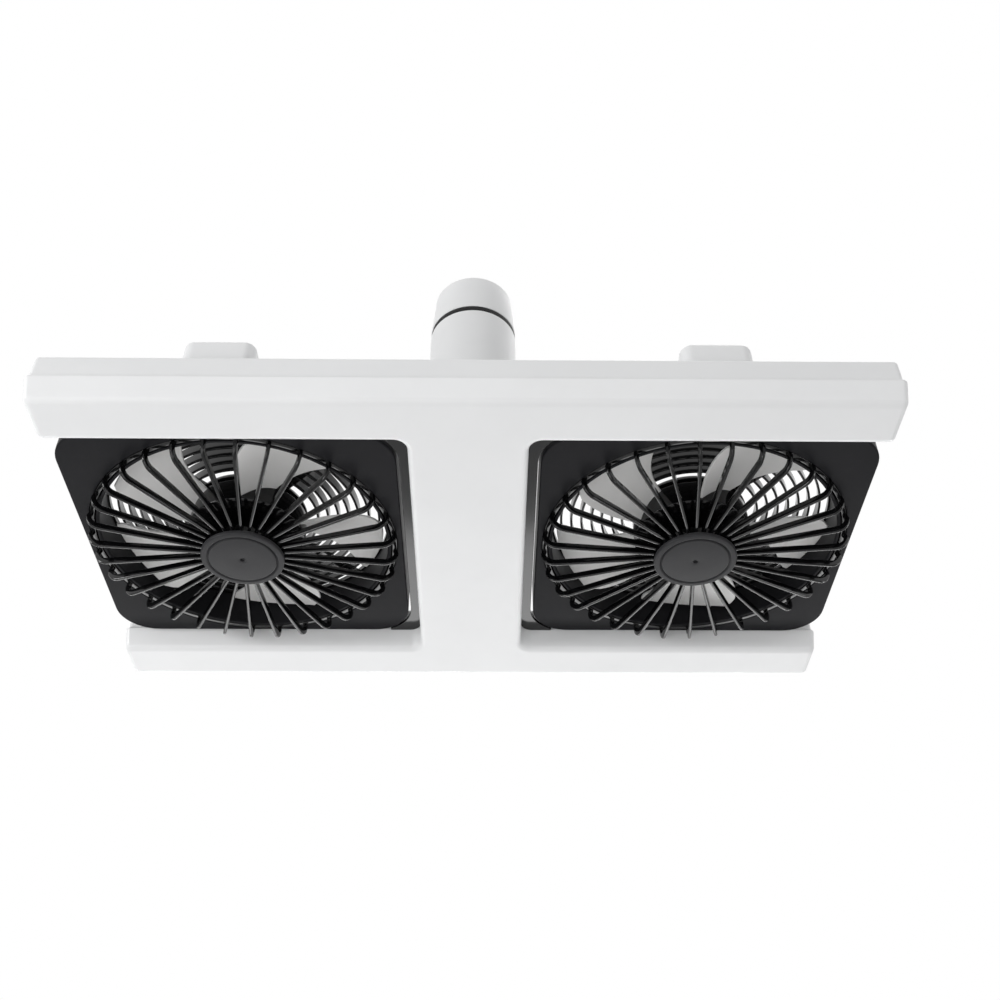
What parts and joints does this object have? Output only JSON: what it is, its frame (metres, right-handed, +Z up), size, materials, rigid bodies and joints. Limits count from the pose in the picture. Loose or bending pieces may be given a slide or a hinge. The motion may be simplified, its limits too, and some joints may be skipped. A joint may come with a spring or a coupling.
{
  "type": "twin head ceiling fan",
  "caption": "Ceiling fan with square tilting heads either side of a swivelling post, hung from a lampholder by its own screw cap.",
  "frame": {"origin": "tip of the lamp cap's centre contact", "axes": "+Z up out of the cap, +X along the rails towards the right head, +Y across the rails"},
  "size_m": [0.3616, 0.21, 0.2053],
  "materials": {
    "shell_white": "satin moulded ABS",
    "panel_black": "satin moulded ABS",
    "gloss_black": "polished moulding",
    "disc_grey": "satin",
    "blade_grey": "satin",
    "ring_rubber": "matt",
    "nickel_cap": "nickel plated",
    "steel": "zinc plated",
    "brass_contact": "plain",
    "copper_winding": "enamelled copper wire",
    "insulator_glass": "black vitreous glass, opaque",
    "board_green": "solder mask",
    "magnet_ferrite": "bonded ferrite"
  },
  "bodies": {
    "lamp_mount": {"crown": "shell_white", "cap_shell": "nickel_cap", "cap_insulator": "insulator_glass", "cap_contact": "brass_contact", "swivel_tube": "steel", "swivel_nut": "brass_contact", "swivel_ring": "ring_rubber"},
    "housing": {"post": "shell_white", "lower_cover": "shell_white", "upper_shell": "shell_white", "driver_board": "board_green", "driver_coil": "copper_winding", "driver_capacitor": "gloss_black", "hump_near_left": "shell_white", "hump_far_left": "shell_white", "hump_near_right": "shell_white", "hump_far_right": "shell_white", "detent_spring_near_left": "steel", "detent_spring_far_left": "steel", "detent_spring_near_right": "steel", "detent_spring_far_right": "steel", "bay_liner_left": "gloss_black", "bay_liner_right": "gloss_black"},
    "head_left": {"head_case_left": "panel_black", "front_guard_left": "gloss_black", "guard_badge_left": "disc_grey", "rear_grille_left": "gloss_black", "stator_left": "copper_winding", "motor_board_left": "board_green", "bearing_left": "brass_contact", "tilt_pin_near_left": "steel", "tilt_pin_far_left": "steel"},
    "fan_left": {"fan_hub_left": "gloss_black", "fan_blades_left": "blade_grey", "rotor_magnet_left": "magnet_ferrite", "shaft_left": "steel"},
    "head_right": {"head_case_right": "panel_black", "front_guard_right": "gloss_black", "guard_badge_right": "disc_grey", "rear_grille_right": "gloss_black", "stator_right": "copper_winding", "motor_board_right": "board_green", "bearing_right": "brass_contact", "tilt_pin_near_right": "steel", "tilt_pin_far_right": "steel"},
    "fan_right": {"fan_hub_right": "gloss_black", "fan_blades_right": "blade_grey", "rotor_magnet_right": "magnet_ferrite", "shaft_right": "steel"}
  },
  "joints": [
    {"name": "swivel", "type": "hinge", "parent": "lamp_mount", "child": "housing", "pos_m": [0, 0, -0.051], "axis": [0, 0, 1], "range_deg": [-170, 170]},
    {"name": "head_tilt_left", "type": "hinge", "parent": "housing", "child": "head_left", "pos_m": [-0.1063, 0, -0.1845], "axis": [0, 1, 0], "range_deg": [-60, 60]},
    {"name": "head_tilt_right", "type": "hinge", "parent": "housing", "child": "head_right", "pos_m": [0.1063, 0, -0.1845], "axis": [0, 1, 0], "range_deg": [-60, 60]},
    {"name": "fan_spin_left", "type": "hinge", "parent": "head_left", "child": "fan_left", "pos_m": [-0.1063, 0, -0.185], "axis": [0, 0, 1], "continuous": true},
    {"name": "fan_spin_right", "type": "hinge", "parent": "head_right", "child": "fan_right", "pos_m": [0.1063, 0, -0.185], "axis": [0, 0, 1], "continuous": true}
  ]
}
